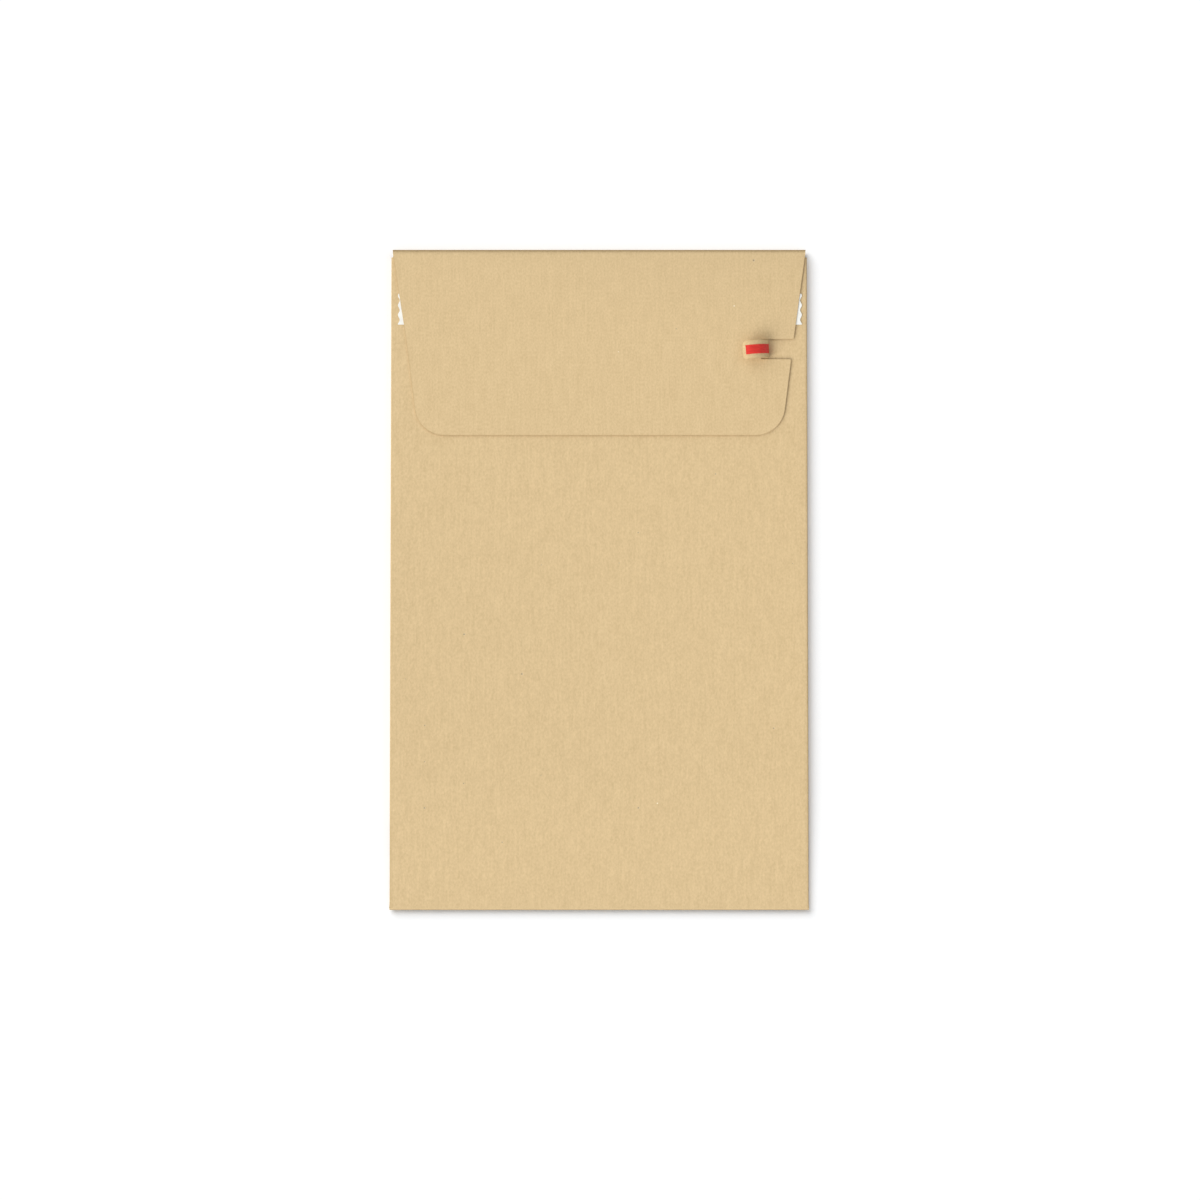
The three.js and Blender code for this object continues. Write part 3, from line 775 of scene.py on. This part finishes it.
def strip_tree():
    """The rule as a tree: a strip of the given size at the given centre, with waved ends."""
    sizes = ("Length", "Width", "Wave Pitch", "Wave Height")
    places = [("Centre", "NodeSocketVector"), ("Material", "NodeSocketMaterial")]
    tree, given = new_tree("Scalloped strip", sizes, places)
    size = given.outputs

    # Only the wavy ends need many points: there are 30 to a wave
    span = {"Size X": size["Length"], "Size Y": size["Width"], "Vertices X": 5, "Vertices Y": 97}
    grid = add(tree, "GeometryNodeMeshGrid", span)
    position = add(tree, "GeometryNodeInputPosition")
    flat = add(tree, "ShaderNodeSeparateXYZ", (position,))
    from_low = add(tree, SUM, (size["Width"], 0.5, flat.outputs["Y"]), operation="MULTIPLY_ADD")
    turns = add(tree, SUM, (from_low, size["Wave Pitch"]), operation="DIVIDE")
    angle = add(tree, SUM, (turns, 2 * math.pi), operation="MULTIPLY")
    wave = add(tree, SUM, (angle,), operation="COSINE")
    dip = add(tree, SUM, (1.0, wave), operation="SUBTRACT")
    half_wave = add(tree, SUM, (size["Wave Height"], 2.0), operation="DIVIDE")
    inward = add(tree, SUM, (dip, half_wave), operation="MULTIPLY")
    # From 1 at the low end to -1 at the high one, so that both ends move in
    half_length = add(tree, SUM, (size["Length"], -2.0), operation="DIVIDE")
    share = add(tree, SUM, (flat.outputs["X"], half_length), operation="DIVIDE")
    along = add(tree, SUM, (share, inward), operation="MULTIPLY")
    shift = add(tree, "ShaderNodeCombineXYZ", {"X": along})
    waved = add(tree, "GeometryNodeSetPosition", {"Geometry": grid.outputs["Mesh"], "Offset": shift})
    placed = add(tree, "GeometryNodeSetPosition", {"Geometry": waved, "Offset": size["Centre"]})
    return finish_tree(tree, placed, size["Material"])


def liner(name, node, wave):
    """A liner strip in the place of a CAD liner, with ends that wave this high."""
    low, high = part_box(node)
    strip = bpy.data.objects.new(name, bpy.data.meshes.new(name))
    bpy.context.scene.collection.objects.link(strip)
    rule = strip.modifiers.new("Strip", "NODES")
    rule.node_group = strip_rule
    set_inputs(
        rule,
        {
            "Length": high.x - low.x,
            "Width": high.y - low.y,
            "Wave Pitch": wave_pitch,
            "Wave Height": wave,
            "Centre": (low + high) / 2,
            "Material": glassine,
        },
    )
    strip = baked(strip, high.z - low.z)
    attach(strip, node)
    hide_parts(node)


strip_rule = strip_tree()
print("strip tree:", len(strip_rule.nodes), "nodes")
liner("return_liner_strip", "return_liner", wave_height)
liner("closure_liner_strip", "closure_liner", 0.0)

# %% [markdown]
# ## The tear tab
#
# The end of the tear strip has been freed and curled back over the flap, so its rough inner side
# and the red tape on it face up. From the notch's root it lies flat for 2 mm, then turns up in a tight
# bend, a little askew, and from there it arches back over the flap in a wide curl, 7 mm high. The
# folding tree's second, easier arc is made for this. Tape and paper are folded by the same numbers,
# with the tape's radii larger by the thickness between them.

# %% The tab and its tape
side_clearance = 0.5 * MM
tip_radius = 2 * MM
tab_half = notch_width / 2 - side_clearance
tab_radius = tab_axis.z - flap_z
tab_turn = math.radians(130)
curl_radius = 10.8 * MM
curl_turn = math.radians(86)
bend_slices, curl_slices = 20, 24
tab_length = tab_radius * tab_turn + curl_radius * curl_turn
print("the tab is", round(tab_length / MM, 1), "mm long from its bend")

tape_half = 2.65 * MM
tape_thickness = 0.15 * MM
tape_margin = 1.4 * MM
tape_overlap = 1 * MM


def curled_strip(name, half, start, end, radius, lift, thickness, tip, under, top, shade_band=0):
    """A strip from the notch's root, curled back by the folding tree.

    It is cut and folded along Y, a little askew, and then turned so that it starts along X.
    """
    turn = Matrix.Rotation(-tab_skew, 2)
    corners = [(-half, start, 0), (half, start, 0), (half, end, tip), (-half, end, tip)]
    outline = [turn @ p for p in rounded(corners, steps=6)]
    rows = fold_rows(0, tab_radius, tab_turn, bend_slices)
    rows += fold_rows(rows[-1], curl_radius, curl_turn, curl_slices)[1:]
    strip = cut_sheet(name, outline, rows, shade_band)
    fold = strip.modifiers.new("Fold", "NODES")
    fold.node_group = fold_rule
    set_inputs(
        fold,
        {
            "Crease": 0.0,
            "Height": lift,
            "Tight Radius": radius,
            "Tight Turn": tab_turn,
            "Easy Radius": curl_radius + radius - tab_radius,
            "Easy Turn": curl_turn,
            "Material": under,
        },
    )
    place = Matrix.Translation((tab_axis.x, tab_axis.y, flap_z))
    place = place @ Matrix.Rotation(tab_skew - math.pi / 2, 4, "Z")
    return baked(strip, thickness, top, place)


# The tight bend turns with the tab more and more from its foot to its top, and all of the curl with it
root = notch_root_x - tab_axis.x
# The tab's paper gets painted shade along its cut edges and at the rim of its bend
tab = curled_strip(
    "tear_tab_paper",
    half=tab_half,
    start=root,
    end=tab_length,
    radius=tab_radius,
    lift=0.0,
    thickness=PAPER,
    tip=tip_radius,
    under=kraft_inner,
    top=kraft_outer,
    shade_band=edge_shade_width,
)
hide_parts("tear_tab", "tear_tab_bend")
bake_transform(tab)

drop = (PAPER + tape_thickness) / 2
tape = curled_strip(
    "tear_tab_film",
    half=tape_half,
    start=root - tape_overlap,
    end=tab_length - tape_margin,
    radius=tab_radius + drop,
    lift=-drop,
    thickness=tape_thickness,
    tip=0,
    under=red_film,
    top=red_film,
)
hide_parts("tear_tab_tape")
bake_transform(tape)

# %% [markdown]
# ## Strips that stay as they are
#
# The adhesive strips, the tear tape inside the flap and the two lines of glue are flat films. Their
# solids already have the right shape, so they only get their finish.

# %% Finishes for the flat films
finishes = {
    "return_adhesive": tack_film,
    "closure_adhesive": tack_film,
    "tear_tape": red_film,
    "side_seam_glue": dry_glue,
    "bottom_glue": dry_glue,
}
for node, material in finishes.items():
    for slot in frame["nodes"][node].material_slots:
        slot.material = material
print("finished as they are:", ", ".join(finishes))

# %% [markdown]
# ## Table, light and camera
#
# The bag lies on a white table. In the photograph, its shadow on the table falls to the lower right,
# while the bag's top rim is dark and the shadow round the tab falls mostly upwards and to the right.
# No one lamp does both. So the table has a soft lamp at the upper left, and the bag has its main lamp
# at the lower left and a weaker one at the upper left. Blender's light linking tells each lamp what it
# lights. Half of the light is a pale room's, which comes from everywhere and, with the band of painted
# shade along each cut edge, draws the thin dark line along each edge of the flap. A sun lamp with a
# wide angle is a soft box of endless size: it gives the same light everywhere, where an area lamp is
# brighter on the near side. Lamps and room together light a level surface with a strength of 1, so a
# colour renders about as it is written.

# %% White table
table_gap = 0.02 * MM


def stage_plane(name, reach, material):
    """A square table top just under the bag."""
    data = bpy.data.meshes.new(name)
    mesh = bmesh.new()
    bmesh.ops.create_grid(mesh, x_segments=1, y_segments=1, size=reach)
    mesh.to_mesh(data)
    mesh.free()
    data.transform(Matrix.Translation((0, 0, -table_gap)))
    data.materials.append(material)
    plane = bpy.data.objects.new(name, data)
    bpy.context.scene.collection.objects.link(plane)
    return plane


# The camera alone sees the table a little brighter, so that it is pure white away from the shadow
table_lift = 0.055
table_reach = 4.0
white_table = bpy.data.materials.new("white_laminate")
white_table.use_nodes = True
shader = white_table.node_tree.nodes["Principled BSDF"]
shader.inputs["Base Color"].default_value = linear("fdfeff")
shader.inputs["Roughness"].default_value = 0.9
shader.inputs["Specular IOR Level"].default_value = 0.0
shader.inputs["Emission Color"].default_value = linear("ffffff")
seen = add(white_table.node_tree, "ShaderNodeLightPath").outputs["Is Camera Ray"]
lift = add(white_table.node_tree, SUM, (seen, table_lift), operation="MULTIPLY")
white_table.node_tree.links.new(lift.outputs[0], shader.inputs["Emission Strength"])
table = stage_plane("table", table_reach, white_table)
print("table", 2 * table_reach, "m wide")

# %% Soft lamps and a pale room
def soft_lamp(name, light_from, angle, share, lights_table):
    """A wide sun lamp that gives a share of the light on a level surface, on the table or the rest."""
    data = bpy.data.lights.new(name, "SUN")
    data.angle = math.radians(angle)
    # A level surface gets less of a lamp the more it leans, so the lamp is made stronger by that much
    data.energy = share * math.pi / light_from.normalized().z
    lamp = bpy.data.objects.new(name, data)
    bpy.context.scene.collection.objects.link(lamp)
    lamp.rotation_euler = light_from.to_track_quat("Z", "Y").to_euler()
    linked = bpy.data.collections.new(name + "_links")
    linked.objects.link(table)
    linked.collection_objects[0].light_linking.link_state = "INCLUDE" if lights_table else "EXCLUDE"
    lamp.light_linking.receiver_collection = linked
    print(name, round(data.energy, 2), "watts per square metre,", angle, "degrees wide")


# The room's share of the light, and the lamps' share. The bag's main lamp gives most of theirs
room_share = 0.5
lamp_share = 1 - room_share
main_share, side_share = 0.75 * lamp_share, 0.25 * lamp_share
soft_lamp("table_lamp", Vector((-0.62, 0.85, 1)), 48, lamp_share, lights_table=True)
soft_lamp("bag_lamp", Vector((-1.0, -0.9, 0.72)), 40, main_share, lights_table=False)
soft_lamp("side_lamp", Vector((-0.7, 0.8, 0.65)), 50, side_share, lights_table=False)

world = bpy.data.worlds.new("pale_room")
world.use_nodes = True
bpy.context.scene.world = world
ray = add(world.node_tree, "ShaderNodeLightPath").outputs
seen = add(world.node_tree, SUM, (ray["Is Camera Ray"], ray["Is Glossy Ray"]), operation="MAXIMUM")
seen = add(world.node_tree, SUM, (seen, ray["Is Transmission Ray"]), operation="MAXIMUM")
levels = {"Value": seen, "To Min": room_share, "To Max": 1.0}
strength = add(world.node_tree, "ShaderNodeMapRange", levels)
background = world.node_tree.nodes["Background"]
background.inputs["Color"].default_value = linear("ffffff")
world.node_tree.links.new(strength.outputs[0], background.inputs["Strength"])

# %% Camera straight above, leaning a little towards the bottom edge
camera_data = bpy.data.cameras.new("camera")
camera_data.sensor_width = 36
camera_distance = 1.5
camera_lean = math.radians(2.29)
pixels_per_metre = 1742.3
frame_pixels = 1200
camera_data.lens = camera_data.sensor_width * pixels_per_metre * camera_distance / frame_pixels
# The frame's middle is a little right of the bag's and below it
aim = Vector((0.5 * MM, -12.6 * MM, front_high.z))
camera = bpy.data.objects.new("camera", camera_data)
bpy.context.scene.collection.objects.link(camera)
direction = Vector((0, -math.sin(camera_lean), math.cos(camera_lean)))
camera.location = aim + direction * camera_distance
camera.rotation_euler = (camera_lean, 0, 0)
bpy.context.scene.camera = camera

bpy.context.scene.view_settings.view_transform = "Standard"
print("lens", round(camera_data.lens, 1), "mm")

# %% The end
import json
